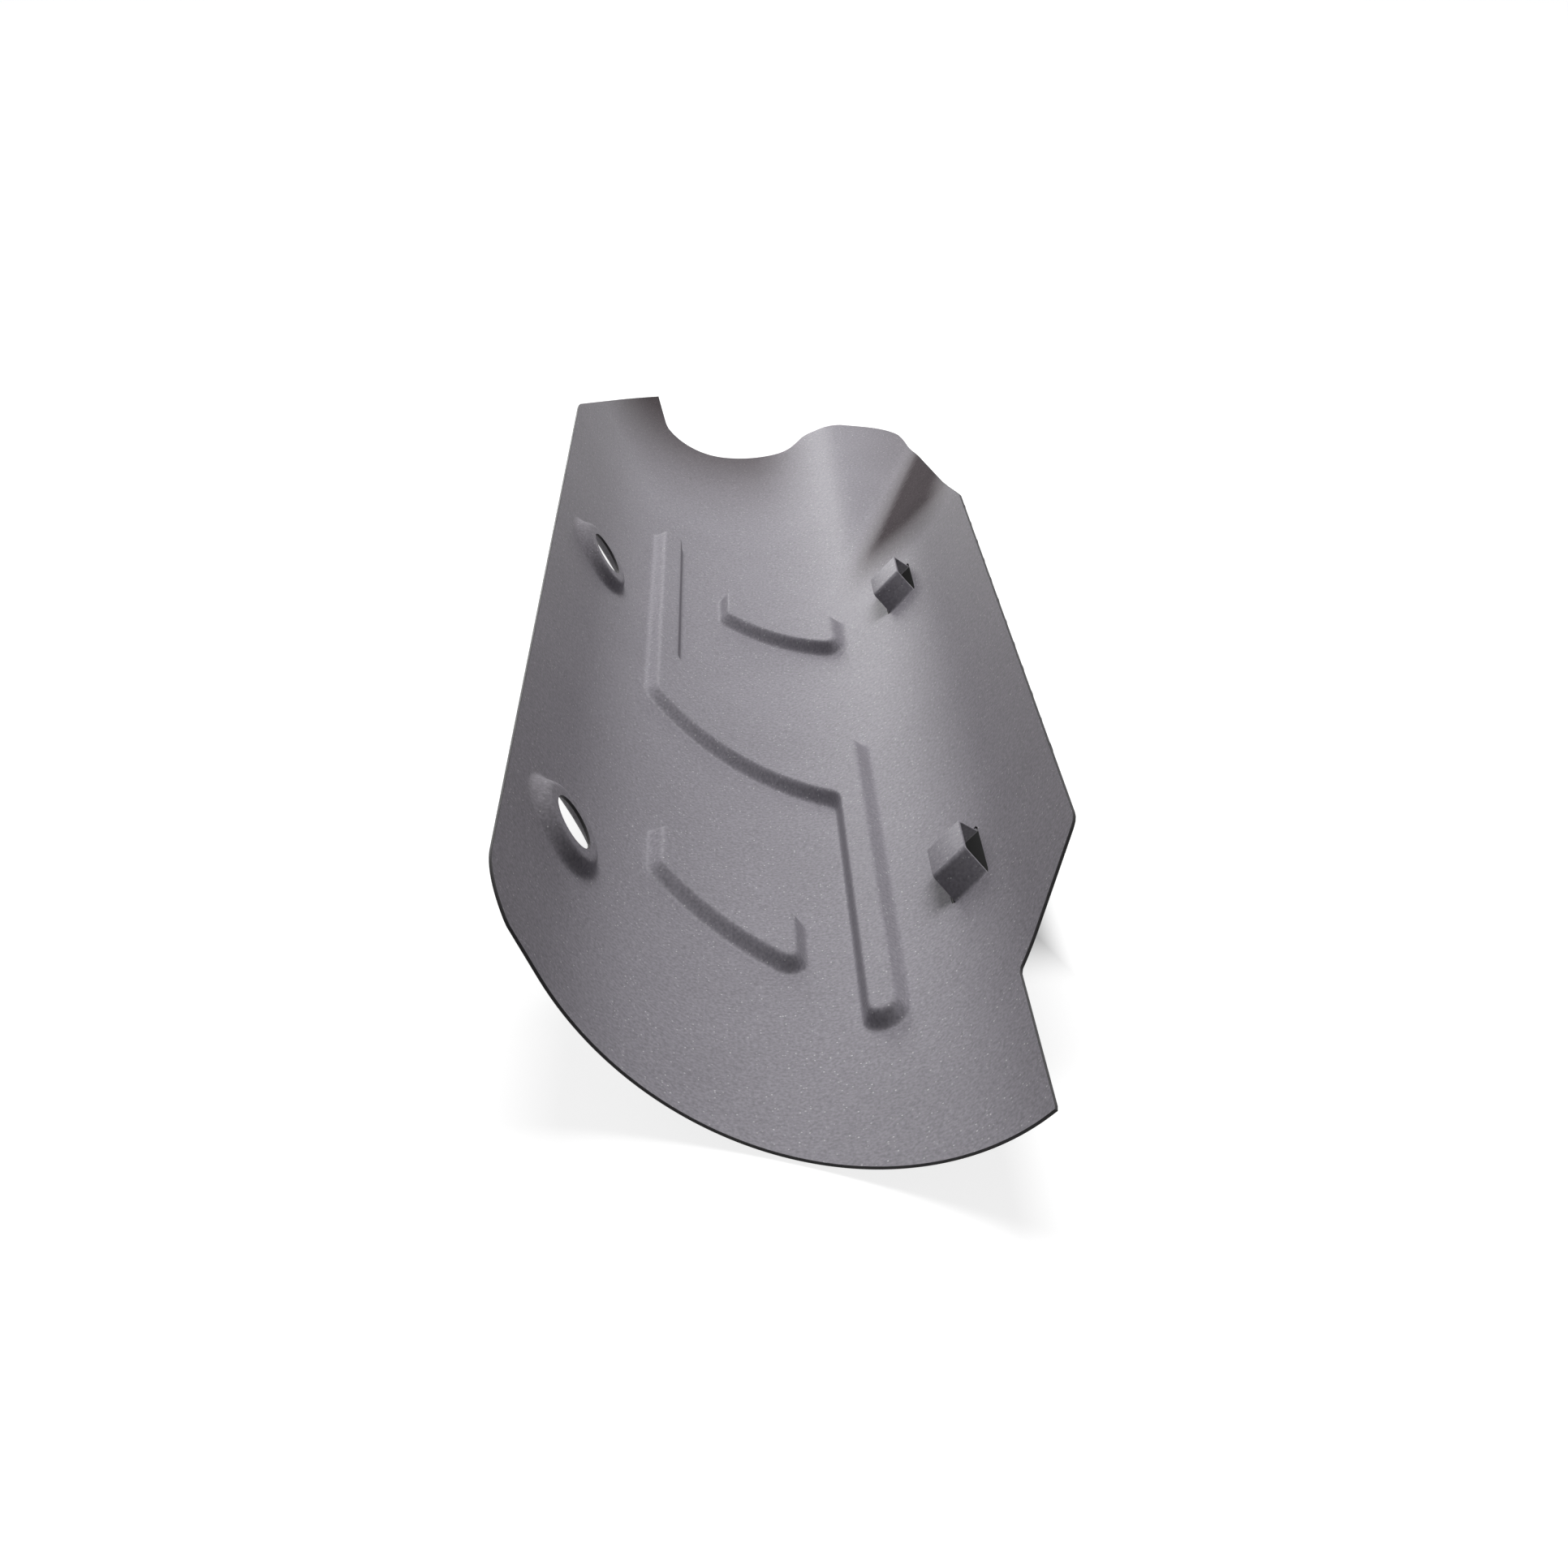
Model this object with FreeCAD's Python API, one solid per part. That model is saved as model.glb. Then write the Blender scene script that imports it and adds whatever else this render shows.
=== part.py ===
import FreeCAD, Part
import math
import os

# Pressed sheet-steel cover for an exhaust pipe: one trough of thin sheet, open upwards,
# lying on its rounded back. Y runs along the pipe, the notched end is at +Y.

# Driving sizes, in millimetres and degrees
sheet = 0.6                  # thickness of the steel
inner_radius = 45.0          # inside radius of the rounded back
arc_half_angle = 61.0        # the back is round this far to each side, then the walls go straight
left_wall = 16.6             # straight run of the left wall up to its rim
right_wall = 15.8            # straight run of the right wall up to its rim

near_edge_y = -2.4           # near end on the centre line
near_edge_skew = 0.42        # how far the near end leans, along for each unit across
near_left_corner_radius = 17.5
near_left_corner_dip = 1.5   # the corner's curve dips this far past the slanted near end
near_strip_angle = 54.0      # the near end reaches this far up the right side
step_start_y = 21.6          # where the right side steps out from the near strip
step_slope = 0.83
step_corner_radius = 4.0
left_rim_end_y = 296.0       # the left rim ends here and the edge runs down to the far end
left_far_drop = 0.25         # fall of that edge for each unit along
left_rim_ease = 4.0          # the rim eases down over this length before it ends
left_rim_drop = 0.3
far_left_end_y = 405.0
far_right_end_y = 371.5
far_tip = (17.6, 382.0)      # tip between the notch and the right far end
far_tip_radius = 3.0
notch_left_x = -28.8         # the notch's left side where it meets the far left end
notch_bottom_left = (-24.1, 363.9)
notch_bottom_right = (11.4, 370.9)
notch_left_radius = 14.0
notch_right_radius = 8.0
notch_middle_x = -5.0

press_height = 3.0           # height of the pressed rib and pads
press_wall_run = 1.7         # how far a pressed wall leans out over that height
rib_leg_width = 8.6
rib_left_x = -25.0           # developed place of the centre of each leg
rib_right_x = 17.0
rib_near_y = 29.5
rib_far_y = 270.5
rib_band = 33.0              # slanted middle of the rib, measured along the trough
rib_slope = 1.05
rib_end_flat = 0.4           # straight run left between the two round corners of a rib's end
rib_bend_radius = 6.0
pad_width = 30.6
pad_length = 22.0
pad_slope = 1.0
pad_radius = 4.5
lower_pad = (-11.2, 75.0)
upper_pad = (4.8, 218.5)

station_near_y = 66.2        # bolt seats and straps sit in pairs at these two stations
station_far_y = 210.4
bolt_angle = -60.5
bolt_radius = 5.25
seat_height = 2.6
seat_flat_radius = 8.0
seat_wall_run = 2.6
strap_angle = 47.0
strap_width = 8.0
strap_height = 5.2
strap_top_length = 10.5
strap_base_length = 16.5
strap_slit = 0.45
strap_bend_radius = 0.8      # inside radius of the strap's four bends
strap_lap = 0.6              # the strap's ends are one with the sheet over this length

corner_angle = 34.0          # the turned-out far right corner leaves the round back at this angle
corner_start_y = 244.0
corner_crease_slope = 0.226  # how fast the crease moves outwards along the trough
corner_crease_radius = 5.0
corner_lead_in = 30.0        # the side plane starts this far before the end of the right rim
corner_outer_radius = 13.0
corner_edge_x = 47.3
corner_side_foot = 1.6       # the side's edge starts this far above the corner's floor
right_rim_end_y = 223.0
right_rim_ease = 10.0        # the right rim eases down over this length before it ends
right_rim_drop = 1.6

overrun = 60.0               # how far cutters and blanks run past the part
punch_reach = 3.0            # how far a punch runs past each face of the sheet

axis_z = inner_radius + sheet
Vector = FreeCAD.Vector
Vector2d = FreeCAD.Base.Vector2d


def polar(radius, angle, y=0.0):
    """Point at a distance from the trough's axis, angle measured from straight down."""
    turn = math.radians(angle)
    return Vector(radius * math.sin(turn), y, axis_z - radius * math.cos(turn))


def outward(angle):
    """Direction away from the axis."""
    turn = math.radians(angle)
    return Vector(math.sin(turn), 0, -math.cos(turn))


def up_the_wall(angle):
    """Direction along the section, away from the bottom, on the side of the angle's sign."""
    turn = math.radians(abs(angle))
    side = 1 if angle > 0 else -1
    return Vector(side * math.cos(turn), 0, math.sin(turn))


def wall_point(angle, run, y, height=0.0):
    """Point on a straight wall: run up from where the wall starts, height out from its face."""
    return polar(inner_radius + height, angle, y) + up_the_wall(angle) * run


def trough_body(radius, y_from, y_to):
    """The trough filled in solid up to a given radius, with its straight walls run on upwards."""
    left = polar(radius, -arc_half_angle, y_from)
    right = polar(radius, arc_half_angle, y_from)
    left_top = left + up_the_wall(-arc_half_angle) * overrun
    right_top = right + up_the_wall(arc_half_angle) * overrun
    back = Part.Arc(left, polar(radius, 0, y_from), right).toShape()
    outline = Part.Wire([back, Part.makeLine(right, right_top),
                         Part.makeLine(right_top, left_top), Part.makeLine(left_top, left)])
    return Part.Face(outline).extrude(Vector(0, y_to - y_from, 0))


def rounded_corner(before, corner, after, radius):
    """Points of the arc that rounds one corner of a flat outline, or the sharp corner itself."""
    if radius == 0:
        return [corner]
    to_before = math.atan2(before[1] - corner[1], before[0] - corner[0])
    to_after = math.atan2(after[1] - corner[1], after[0] - corner[0])
    opening = (to_after - to_before + math.pi) % (2 * math.pi) - math.pi
    reach = radius / math.sin(abs(opening) / 2)
    middle = to_before + opening / 2
    centre = (corner[0] + reach * math.cos(middle), corner[1] + reach * math.sin(middle))
    side = 1 if opening > 0 else -1
    start = to_before - side * math.pi / 2
    sweep = -side * (math.pi - abs(opening))
    steps = 6
    return [(centre[0] + radius * math.cos(start + sweep * k / steps),
             centre[1] + radius * math.sin(start + sweep * k / steps)) for k in range(steps + 1)]


def rounded_outline(corners, radii):
    """Arcs and lines of a closed outline, as lists of points in turn."""
    count = len(corners)
    arcs = [rounded_corner(corners[i - 1], corners[i], corners[(i + 1) % count], radii[i])
            for i in range(count)]
    pieces = []
    for i in range(count):
        if len(arcs[i]) > 1:
            pieces.append(arcs[i])
        pieces.append([arcs[i][-1], arcs[(i + 1) % count][0]])
    return pieces


def grown(corners, margin):
    """The outline moved outwards by a margin; corners run anticlockwise."""
    count = len(corners)
    moved = []
    for i in range(count):
        before, corner, after = corners[i - 1], corners[i], corners[(i + 1) % count]
        into = (corner[0] - before[0], corner[1] - before[1])
        out_of = (after[0] - corner[0], after[1] - corner[1])
        normal_in = (into[1] / math.hypot(*into), -into[0] / math.hypot(*into))
        normal_out = (out_of[1] / math.hypot(*out_of), -out_of[0] / math.hypot(*out_of))
        spread = 1 + normal_in[0] * normal_out[0] + normal_in[1] * normal_out[1]
        moved.append((corner[0] + margin * (normal_in[0] + normal_out[0]) / spread,
                      corner[1] + margin * (normal_in[1] + normal_out[1]) / spread))
    return moved


def edges_on_cylinder(radius, pieces):
    """The outline wrapped round the trough at a radius; x is arc length on the inside surface."""
    surface = Part.Cylinder()
    surface.Center = Vector(0, 0, axis_z)
    surface.Axis = Vector(0, 1, 0)
    surface.Radius = radius
    edges = []
    for points in pieces:
        wrapped = [Vector2d(math.pi / 2 - x / inner_radius, y) for x, y in points]
        if len(wrapped) == 2:
            line = Part.Geom2d.Line2dSegment(wrapped[0], wrapped[1])
            edges.append(line.toShape(surface))
        else:
            curve = Part.Geom2d.BSplineCurve2d()
            curve.interpolate(wrapped)
            edges.append(curve.toShape(surface))
    return surface, edges


def pressed_form(corners, radii, base_radius, height, wall_run, margin):
    """Raised form on the inside of the trough, with walls that lean out towards its base."""
    top_radii = [r + margin * turn for r, turn in radii]
    base_radii = [top + wall_run * turn for top, (r, turn) in zip(top_radii, radii)]
    top_outline = rounded_outline(grown(corners, margin), top_radii)
    base_outline = rounded_outline(grown(corners, margin + wall_run), base_radii)
    base_surface, base_edges = edges_on_cylinder(base_radius, base_outline)
    top_surface, top_edges = edges_on_cylinder(base_radius - height, top_outline)
    faces = [Part.makeRuledSurface(base, top) for base, top in zip(base_edges, top_edges)]
    faces.append(Part.Face(base_surface, Part.Wire(base_edges)))
    faces.append(Part.Face(top_surface, Part.Wire(top_edges)))
    shell = Part.Shell(faces)
    shell.sewShape()
    solid = Part.Solid(shell)
    if solid.Volume < 0:
        solid.reverse()
    return solid


def rib_corners():
    """Top outline of the long cranked rib, anticlockwise."""
    half_leg = rib_leg_width / 2 - press_wall_run
    half_band = (rib_band - 2 * press_wall_run) / 2
    middle_x = (rib_left_x + rib_right_x) / 2
    middle_y = (rib_near_y + rib_far_y) / 2

    def band_y(x, side):
        return middle_y - rib_slope * (x - middle_x) + side * half_band

    left_out = rib_left_x - half_leg
    left_in = rib_left_x + half_leg
    right_in = rib_right_x - half_leg
    right_out = rib_right_x + half_leg
    near = rib_near_y + press_wall_run
    far = rib_far_y - press_wall_run
    return [(left_out, band_y(left_out, -1)), (right_in, band_y(right_in, -1)),
            (right_in, near), (right_out, near),
            (right_out, band_y(right_out, 1)), (left_in, band_y(left_in, 1)),
            (left_in, far), (left_out, far)]


def pad_corners(centre):
    """Top outline of a slanted pad, anticlockwise."""
    half_width = pad_width / 2 - press_wall_run
    half_length = pad_length / 2 - press_wall_run
    x, y = centre
    return [(x - half_width, y + pad_slope * half_width - half_length),
            (x + half_width, y - pad_slope * half_width - half_length),
            (x + half_width, y - pad_slope * half_width + half_length),
            (x - half_width, y + pad_slope * half_width + half_length)]


# Each corner's radius at the top, and +1 where the outline turns out or -1 where it turns in
rib_end_radius = (rib_leg_width - rib_end_flat) / 2 - press_wall_run
rib_radii = [(rib_bend_radius, 1), (rib_bend_radius, -1), (rib_end_radius, 1),
             (rib_end_radius, 1), (rib_bend_radius, 1), (rib_bend_radius, -1),
             (rib_end_radius, 1), (rib_end_radius, 1)]
pad_radii = [(pad_radius, 1)] * 4
pressings = [(rib_corners(), rib_radii),
             (pad_corners(lower_pad), pad_radii),
             (pad_corners(upper_pad), pad_radii)]


def seat_form(y, depth):
    """Flat conical bolt seat pressed in from the wall; depth is 0 inside, the sheet outside."""
    face_distance = inner_radius - seat_height + depth
    run = seat_height + punch_reach
    flat = seat_flat_radius - depth / 2
    slope = seat_wall_run / seat_height
    centre = polar(face_distance, bolt_angle, y)
    return Part.makeCone(flat, flat + run * slope, run, centre, outward(bolt_angle))


def turned_corner(depth):
    """Wedge under the turned-out far right corner: a flat floor and a leaning side from a crease."""
    floor_z = axis_z - inner_radius * math.cos(math.radians(corner_angle))
    start_x = inner_radius * math.sin(math.radians(corner_angle))
    y_from = right_rim_end_y - corner_lead_in
    y_to = far_left_end_y + overrun
    crease = [Vector(start_x + corner_crease_slope * (y - corner_start_y), y, floor_z)
              for y in (y_from, y_to)]
    rim = wall_point(arc_half_angle, right_wall, right_rim_end_y)
    side_normal = (crease[1] - crease[0]).cross(rim - crease[0])
    side_normal.normalize()
    if side_normal.x < 0:
        side_normal = side_normal * -1
    # The crease moves so that floor and side both shift outwards by the depth
    shift = Vector(depth * (1 + side_normal.z) / side_normal.x, 0, -depth)
    rise = Vector(-side_normal.z, 0, side_normal.x) * (overrun / 2 / side_normal.x)
    wires = []
    for point in crease:
        foot = point + shift
        head = foot + rise
        wires.append(Part.makePolygon([Vector(0, foot.y, foot.z), foot, head,
                                       Vector(0, head.y, head.z), Vector(0, foot.y, foot.z)]))
    wedge = Part.makeLoft(wires, True, True)
    bend = [edge for edge in wedge.Edges
            if abs(edge.Vertexes[0].Z - crease[0].z + depth) < 0.001
            and abs(edge.Vertexes[1].Z - crease[0].z + depth) < 0.001
            and abs(edge.Vertexes[0].Y - edge.Vertexes[1].Y) > 1
            and edge.Vertexes[0].X > 1]
    return wedge.makeFillet(corner_crease_radius + depth, bend)


def formed_blank():
    """The pressed sheet before its outline is trimmed."""
    y_from = near_edge_y - overrun
    y_to = far_left_end_y + overrun
    outer = trough_body(inner_radius + sheet, y_from, y_to).fuse(turned_corner(sheet))
    inner = trough_body(inner_radius, y_from - 1, y_to + 1).fuse(turned_corner(0.0))
    for corners, radii in pressings:
        inner = inner.cut(pressed_form(corners, radii, inner_radius,
                                       press_height, press_wall_run, 0.0))
        outer = outer.cut(pressed_form(corners, radii, inner_radius + sheet,
                                       press_height, press_wall_run, -sheet / 2))
    for y in (station_near_y, station_far_y):
        inner = inner.cut(seat_form(y, 0.0))
        outer = outer.cut(seat_form(y, sheet))
    return outer.cut(inner)


def block(corners, direction):
    """A cutter made from a flat polygon pushed along a direction."""
    face = Part.Face(Part.makePolygon(corners + [corners[0]]))
    return face.extrude(direction)


def rounded_block(corners, radii, place, direction):
    """A cutter from a flat outline with rounded corners; place turns its points into 3-D ones."""
    edges = []
    for points in rounded_outline(corners, radii):
        if len(points) == 2:
            edges.append(Part.makeLine(place(points[0]), place(points[1])))
        else:
            middle = points[len(points) // 2]
            edges.append(Part.Arc(place(points[0]), place(middle), place(points[-1])).toShape())
    return Part.Face(Part.Wire(edges)).extrude(direction)


def near_end_cutter():
    """Everything nearer than the slanted near end."""
    reach = 2 * inner_radius
    corners = [Vector(-reach, near_edge_y + near_edge_skew * reach, -overrun),
               Vector(reach, near_edge_y - near_edge_skew * reach, -overrun),
               Vector(reach, near_edge_y - 3 * overrun, -overrun),
               Vector(-reach, near_edge_y - 3 * overrun, -overrun)]
    return block(corners, Vector(0, 0, 4 * overrun))


def left_corner_cutter():
    """What lies outside the big round corner at the near left."""
    radius = near_left_corner_radius
    angle = -arc_half_angle
    centre_run = left_wall - radius
    edge_y = near_edge_y - near_edge_skew * wall_point(angle, 0, 0).x
    centre_y = edge_y + radius - near_left_corner_dip
    low = wall_point(angle, centre_run, centre_y - radius - overrun, -punch_reach)
    tall = low + up_the_wall(angle) * overrun
    through = outward(angle) * (sheet + 2 * punch_reach)
    along = Vector(0, radius + overrun, 0)
    square = block([low, tall, tall + along, low + along], through)
    disc = Part.makeCylinder(radius, sheet + 4 * punch_reach,
                             wall_point(angle, centre_run, centre_y, -2 * punch_reach),
                             outward(angle))
    return square.cut(disc)


def rim_cutter(angle, wall):
    """What lies above a wall's rim."""
    y_from = near_edge_y - 2 * overrun
    length = far_left_end_y + 4 * overrun
    foot = wall_point(angle, wall, y_from, -overrun / 2)
    head = wall_point(angle, wall + 2 * overrun, y_from, -overrun / 2)
    across = outward(angle) * overrun
    return block([foot, head, head + across, foot + across], Vector(0, length, 0))


def right_step_cutter():
    """The strip cut away beside the near end, and the slanted step up to the full wall."""
    angle = arc_half_angle
    strip_run = -inner_radius * math.sin(math.radians(arc_half_angle - near_strip_angle))
    rim_y = step_start_y + (right_wall - strip_run) * step_slope
    height = -overrun / 4
    far_run = right_wall + overrun
    near_y = near_edge_y - 2 * overrun
    corners = [(strip_run, step_start_y), (right_wall, rim_y), (right_wall, rim_y + overrun),
               (far_run, rim_y + overrun), (far_run, near_y), (strip_run, near_y)]
    radii = [0, step_corner_radius, 0, 0, 0, 0]
    return rounded_block(corners, radii, lambda p: wall_point(angle, p[0], p[1], -overrun / 4),
                         outward(angle) * overrun / 2)


def left_far_cutter():
    """The left side falls away from the end of its rim to the far end."""
    rim_z = wall_point(-arc_half_angle, left_wall, 0).z
    length = far_left_end_y + overrun - left_rim_end_y
    end_z = rim_z - left_rim_drop
    ease_y = left_rim_end_y - left_rim_ease
    corners = [Vector(notch_middle_x, ease_y, rim_z + overrun),
               Vector(notch_middle_x, ease_y, rim_z + sheet),
               Vector(notch_middle_x, left_rim_end_y, end_z),
               Vector(notch_middle_x, left_rim_end_y + length, end_z - left_far_drop * length),
               Vector(notch_middle_x, left_rim_end_y + length, rim_z + overrun)]
    return block(corners, Vector(-2 * overrun, 0, 0))


def far_end_cutter():
    """What lies past the far end: left of its U-shaped notch, in the notch, and right of it."""
    beyond = far_left_end_y + 2 * overrun
    slope = ((notch_bottom_right[1] - notch_bottom_left[1])
             / (notch_bottom_right[0] - notch_bottom_left[0]))
    middle = (notch_middle_x,
              notch_bottom_left[1] + slope * (notch_middle_x - notch_bottom_left[0]))
    left = [(-2 * overrun, far_left_end_y), (notch_left_x, far_left_end_y), notch_bottom_left,
            middle, (notch_middle_x, beyond), (-2 * overrun, beyond)]
    right = [middle, notch_bottom_right, far_tip, (corner_edge_x, far_right_end_y),
             (corner_edge_x, corner_start_y), (3 * overrun, corner_start_y),
             (3 * overrun, beyond), (notch_middle_x, beyond)]
    right_radii = [0, notch_right_radius, far_tip_radius, corner_outer_radius, 0, 0, 0, 0]
    floor_z = axis_z - inner_radius * math.cos(math.radians(corner_angle))

    def low(point):
        return Vector(point[0], point[1], -overrun)

    whole = rounded_block(left, [0, 0, notch_left_radius, 0, 0, 0], low, Vector(0, 0, 4 * overrun))
    height = overrun + floor_z + corner_side_foot
    part = rounded_block(right, right_radii, low, Vector(0, 0, height))
    return whole.fuse(part)


def right_far_cutter():
    """The edge of the turned-out corner's side, from the rim's end down to the crease."""
    rim = wall_point(arc_half_angle, right_wall, right_rim_end_y)
    floor_z = axis_z - inner_radius * math.cos(math.radians(corner_angle))
    crease_x = inner_radius * math.sin(math.radians(corner_angle))
    crease_y = corner_start_y + (corner_edge_x - crease_x) / corner_crease_slope
    top = rim.z + overrun
    end_y = far_left_end_y + overrun
    ease_y = rim.y - right_rim_ease
    corners = [Vector(0, ease_y, top), Vector(0, ease_y, rim.z),
               Vector(0, rim.y, rim.z - right_rim_drop),
               Vector(0, crease_y, floor_z + corner_side_foot),
               Vector(0, end_y, floor_z + corner_side_foot), Vector(0, end_y, top)]
    return block(corners, Vector(3 * overrun, 0, 0))


def strap(y):
    """Window slit in the sheet and the strap that stands over it, both ends left joined on."""
    angle = strap_angle
    across = up_the_wall(angle)
    foot = polar(inner_radius, angle, y)
    out = outward(angle)
    half_base = strap_base_length / 2
    half_top = strap_top_length / 2
    lean = math.hypot(half_base - half_top, strap_height)
    shrink = sheet * (lean - strap_height) / (half_base - half_top)
    leg_angle = math.atan2(strap_height, half_base - half_top)
    half_window = half_base + (strap_bend_radius + sheet) * math.tan(leg_angle / 2)
    end = half_window + strap_lap

    def at(along, depth):
        return foot + Vector(0, along, 0) + out * depth

    face = [(-end, 0), (-half_base, 0), (-half_top, -strap_height),
            (half_top, -strap_height), (half_base, 0), (end, 0)]
    back = [(end, sheet), (half_base - shrink, sheet), (half_top - shrink, sheet - strap_height),
            (shrink - half_top, sheet - strap_height), (shrink - half_base, sheet), (-end, sheet)]
    sideways = across * (-strap_width / 2)
    bar = block([at(*point) + sideways for point in face + back], across * strap_width)

    def bends(points):
        starts = [at(*point) + sideways for point in points]
        return [edge for edge in bar.Edges if abs(edge.Length - strap_width) < 0.001
                and any(vertex.Point.distanceToPoint(start) < 0.001
                        for vertex in edge.Vertexes for start in starts)]

    tight = bends([face[1], face[4], back[2], back[3]])
    bar = bar.makeFillet(strap_bend_radius, tight)
    bar = bar.makeFillet(strap_bend_radius + sheet, bends([face[2], face[3], back[1], back[4]]))
    half_slit = strap_width / 2 + strap_slit
    corner = at(-half_window, -punch_reach / 2) - across * half_slit
    along = Vector(0, 2 * half_window, 0)
    over = across * (2 * half_slit)
    window = block([corner, corner + along, corner + along + over, corner + over],
                   out * (sheet + punch_reach))
    return window, bar


def cover():
    """The finished cover, in the trough's own coordinates."""
    body = formed_blank()
    for cutter in (near_end_cutter(), left_corner_cutter(), right_step_cutter(),
                   rim_cutter(-arc_half_angle, left_wall), rim_cutter(arc_half_angle, right_wall),
                   left_far_cutter(), right_far_cutter(), far_end_cutter()):
        body = body.cut(cutter)
    for y in (station_near_y, station_far_y):
        hole = Part.makeCylinder(bolt_radius, sheet + 2 * punch_reach,
                                 polar(inner_radius - seat_height - punch_reach, bolt_angle, y),
                                 outward(bolt_angle))
        window, bar = strap(y)
        body = body.cut(hole).cut(window).fuse(bar)
    return body


finished = cover()
box = finished.optimalBoundingBox(True, False)
origin_shift = Vector(-(box.XMin + box.XMax) / 2, -(box.YMin + box.YMax) / 2, -box.ZMin)
finished.translate(origin_shift)
os.makedirs("parts", exist_ok=True)
finished.exportStep("parts/pipe_cover.step")
print("solids", len(finished.Solids), "valid", finished.isValid(), "faces", len(finished.Faces),
      "volume", finished.Volume, "shift", origin_shift)
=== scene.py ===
import math

import bpy
import numpy as np
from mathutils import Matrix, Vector
from mathutils.geometry import delaunay_2d_cdt
from mathutils.kdtree import KDTree


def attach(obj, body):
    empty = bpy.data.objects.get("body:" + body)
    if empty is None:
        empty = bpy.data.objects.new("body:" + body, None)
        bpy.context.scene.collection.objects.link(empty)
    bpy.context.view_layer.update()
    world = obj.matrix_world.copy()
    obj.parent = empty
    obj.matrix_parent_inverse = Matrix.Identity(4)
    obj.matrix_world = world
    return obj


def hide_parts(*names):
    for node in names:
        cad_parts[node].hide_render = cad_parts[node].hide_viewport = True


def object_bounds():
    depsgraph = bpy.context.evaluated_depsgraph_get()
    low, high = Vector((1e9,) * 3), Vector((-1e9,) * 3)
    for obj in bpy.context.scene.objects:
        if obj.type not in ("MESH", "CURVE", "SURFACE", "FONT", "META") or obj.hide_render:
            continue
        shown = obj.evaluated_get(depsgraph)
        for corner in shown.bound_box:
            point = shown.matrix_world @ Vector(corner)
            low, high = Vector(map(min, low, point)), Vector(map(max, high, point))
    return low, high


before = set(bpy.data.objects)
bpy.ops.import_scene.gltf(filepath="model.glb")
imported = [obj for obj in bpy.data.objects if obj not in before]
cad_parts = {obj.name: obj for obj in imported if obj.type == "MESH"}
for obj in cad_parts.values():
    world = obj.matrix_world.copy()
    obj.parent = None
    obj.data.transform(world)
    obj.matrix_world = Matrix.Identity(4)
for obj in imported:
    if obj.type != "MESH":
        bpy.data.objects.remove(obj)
cad_low, cad_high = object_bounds()

# The pressed cover: one sheet of 0.6 mm steel, drawn into a trough with a rib, pads and bolt
# seats pressed up from its back, then trimmed and pierced. It replaces the plain CAD solid.
# All sizes below are millimetres in the trough's own frame, with its axis over the middle.

sheet = 0.6
back_radius = 45.0
back_half_angle = math.radians(61.0)
left_wall = 16.6
right_wall = 15.8
axis_height = back_radius + sheet

near_edge_y = -2.4
near_edge_skew = 0.42
near_left_radius = 17.5
near_left_dip = 1.5
near_strip_angle = math.radians(54.0)
step_start_y = 21.6
step_slope = 0.83
step_radius = 4.0
left_rim_end_y = 296.0
left_rim_ease = 4.0
left_rim_drop = 0.3
left_far_fall = 0.25
far_left_y = 405.0
far_right_y = 371.5
notch_left_x = -28.8
notch_low_left = (-24.1, 363.9)
notch_low_right = (11.4, 370.9)
notch_left_radius = 14.0
notch_right_radius = 8.0
far_tip = (17.6, 382.0)
far_tip_radius = 3.0

corner_angle = math.radians(34.0)
corner_start_y = 244.0
corner_crease_slope = 0.226
corner_outer_radius = 17.0
corner_join_ease = 10.0      # how far the outline is cut back where the side meets the floor
corner_join_reach = 24.0     # and how far to each side of that join it is smoothed
rim_end_ease = 6.0           # the same where the rim turns down into the side
easing_passes = 30
corner_fade = 24.0           # length over which the corner grows out of the trough
corner_edge_x = 47.3
corner_side_foot = 1.6
right_rim_end_y = 223.0
right_rim_ease = 10.0
right_rim_drop = 1.6
crease_softness = 5.0        # how far the bend spreads to each side of the crease
ridge_softness = 2.6

floor_depth = back_radius * math.cos(corner_angle)
crease_start_x = back_radius * math.sin(corner_angle)


def wall_angle(run):
    """Angle seen from the axis of a point that far up a straight wall, or back along the arc."""
    if run >= 0:
        return back_half_angle + math.atan(run / back_radius)
    return back_half_angle + math.asin(run / back_radius)


def trough_reach(angle):
    """Distance from the axis to the inside of the plain trough."""
    past = np.maximum(np.abs(angle) - back_half_angle, 0.0)
    return back_radius / np.cos(past)


rim_x = back_radius * math.sin(back_half_angle) + right_wall * math.cos(back_half_angle)
rim_depth = back_radius * math.cos(back_half_angle) - right_wall * math.sin(back_half_angle)
crease_run = Vector((corner_crease_slope, 1.0, 0.0))
to_rim = Vector((rim_x - crease_start_x, right_rim_end_y - corner_start_y, floor_depth - rim_depth))
side_normal = crease_run.cross(to_rim).normalized()
if side_normal.x < 0:
    side_normal = -side_normal


def corner_side_reach(angle, y):
    """Distance from the axis to the leaning side of the turned-out corner."""
    least_facing = 0.02      # keeps directions that miss the side finite
    offset = side_normal.x * crease_start_x - side_normal.z * floor_depth
    offset = offset + side_normal.y * (corner_start_y - y)
    facing = side_normal.x * np.sin(angle) - side_normal.z * np.cos(angle)
    return offset / np.maximum(facing, least_facing)


def soft_min(a, b, spread):
    """The lesser of two values, blended smoothly where they come close."""
    share = np.clip(0.5 + 0.5 * (b - a) / spread, 0.0, 1.0)
    return b + (a - b) * share - spread * share * (1.0 - share)


def soft_max(a, b, spread):
    return -soft_min(-a, -b, spread)


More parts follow.
